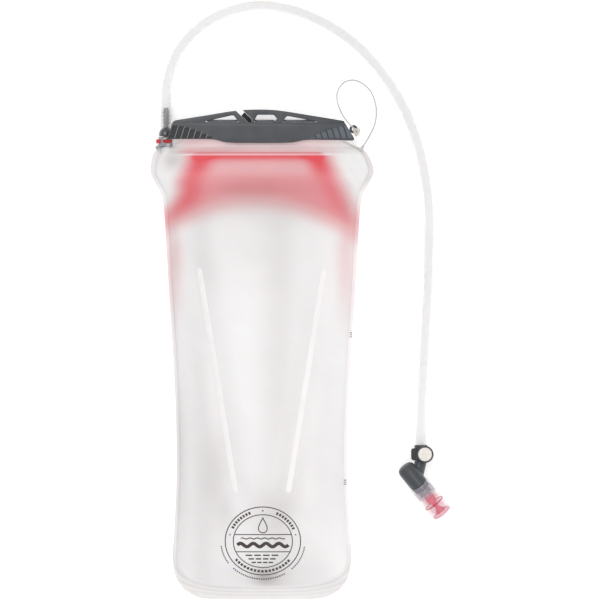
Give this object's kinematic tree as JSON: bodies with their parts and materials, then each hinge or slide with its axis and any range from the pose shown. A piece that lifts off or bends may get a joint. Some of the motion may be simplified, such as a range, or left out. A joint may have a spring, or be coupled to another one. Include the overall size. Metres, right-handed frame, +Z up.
{
  "type": "hydration bladder",
  "caption": "Flat-lying flexible water reservoir with a slide-off closure bar, a quick-release drinking tube, a shut-off valve and a twist-lock bite valve.",
  "frame": {"origin": "on the flat part of the back film, under the middle of the reservoir, which lies on its back", "axes": "+Z up out of the front film, +Y from the bottom weld to the closure bar, +X to the side the closure bar slides off"},
  "size_m": [0.2593, 0.5185, 0.0502],
  "materials": {
    "frosted_film": "frosted translucent film",
    "white_weld": "milky weld bead",
    "red_film": "red translucent film",
    "slate_plastic": "fine moulded satin",
    "grey_plastic": "satin",
    "black_rubber": "matt",
    "clear_cord": "clear monofilament",
    "port_plastic": "clear moulded",
    "red_plastic": "high gloss",
    "cream_plastic": "satin",
    "spring_steel": "bright drawn",
    "clear_tube": "clear flexible tube",
    "clear_plastic": "clear moulded",
    "clear_silicone": "translucent silicone",
    "pink_silicone": "translucent pink silicone"
  },
  "bodies": {
    "reservoir": {"front_film": "frosted_film", "back_film": "frosted_film", "weld_rib_left": "white_weld", "weld_rib_right": "white_weld", "baffle_web_left": "frosted_film", "baffle_web_right": "frosted_film", "inner_liner": "red_film", "mouth_rail_front": "white_weld", "mouth_rail_back": "white_weld", "tether": "clear_cord", "tether_anchor": "clear_cord", "port_body": "port_plastic", "check_valve_spring": "spring_steel"},
    "closure": {"closure_bar": "slate_plastic", "hook_pad": "black_rubber", "tether_knot": "clear_cord"},
    "latch": {"release_latch": "red_plastic"},
    "poppet": {"check_valve_poppet": "cream_plastic"},
    "drinking_line": {"plug_body": "slate_plastic", "plug_cap": "grey_plastic", "plug_seal": "black_rubber", "drinking_tube": "clear_tube", "valve_housing": "slate_plastic"},
    "shutoff": {"shutoff_rotor": "cream_plastic", "shutoff_seal": "black_rubber", "shutoff_knob": "slate_plastic", "knob_disc": "cream_plastic", "knob_screw": "spring_steel"},
    "mouthpiece": {"lock_collar": "clear_plastic", "bite_sleeve": "clear_silicone", "bite_ring": "pink_silicone", "bite_rim": "pink_silicone", "bite_core": "pink_silicone"}
  },
  "joints": [
    {"name": "closure_slide", "type": "slide", "parent": "reservoir", "child": "closure", "axis": [1, 0, 0], "range_m": [0, 0.13]},
    {"name": "latch_press", "type": "slide", "parent": "reservoir", "child": "latch", "axis": [1, 0, 0], "range_m": [0, 0.0018], "stiffness_N_per_m": 400, "springref_m": -0.001},
    {"name": "plug_pull", "type": "slide", "parent": "reservoir", "child": "drinking_line", "axis": [0, 1, 0], "range_m": [0, 0.02]},
    {"name": "check_valve_close", "type": "slide", "parent": "reservoir", "child": "poppet", "axis": [0, 1, 0], "range_m": [0, 0.0013]},
    {"name": "shutoff_turn", "type": "hinge", "parent": "drinking_line", "child": "shutoff", "pos_m": [0.1407, -0.0727, 0.008], "axis": [0, 0, 1], "range_deg": [-90, 0]},
    {"name": "bite_twist", "type": "hinge", "parent": "drinking_line", "child": "mouthpiece", "pos_m": [0.1227, -0.083, 0.0171], "axis": [0.6239, -0.7673, -0.1483], "range_deg": [0, 90]}
  ],
  "couplings": [
    {"joint": "check_valve_close", "follows": "plug_pull", "ratio": 0.065}
  ]
}
